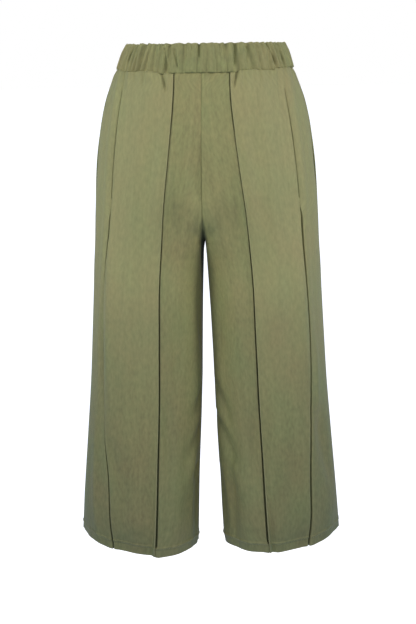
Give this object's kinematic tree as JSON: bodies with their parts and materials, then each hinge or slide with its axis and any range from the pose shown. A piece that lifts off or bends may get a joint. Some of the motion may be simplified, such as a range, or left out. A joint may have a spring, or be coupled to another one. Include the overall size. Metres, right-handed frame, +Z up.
{
  "type": "culottes",
  "caption": "Wide cropped trousers with a gathered elastic waistband, a wide box pleat down each front, in-seam pockets and turned-up hems, hollow as worn.",
  "frame": {"origin": "middle of the waistband ring, at half its height, where the wearer's waist holds the garment", "axes": "+Z up along the body, -Y out of the front, +X to the right of someone who looks at the front"},
  "size_m": [0.4174, 0.2453, 0.7993],
  "materials": {
    "waistband_cloth": "gathered smooth woven cloth, matt with a slight sheen",
    "leg_cloth": "smooth woven cloth, matt with a slight sheen",
    "pocket_cloth": "smooth woven cloth"
  },
  "bodies": {
    "root": {"waistband": "waistband_cloth", "front_left": "leg_cloth", "front_right": "leg_cloth", "back_left": "leg_cloth", "back_right": "leg_cloth", "pocket_left": "pocket_cloth", "pocket_right": "pocket_cloth"}
  },
  "joints": []
}
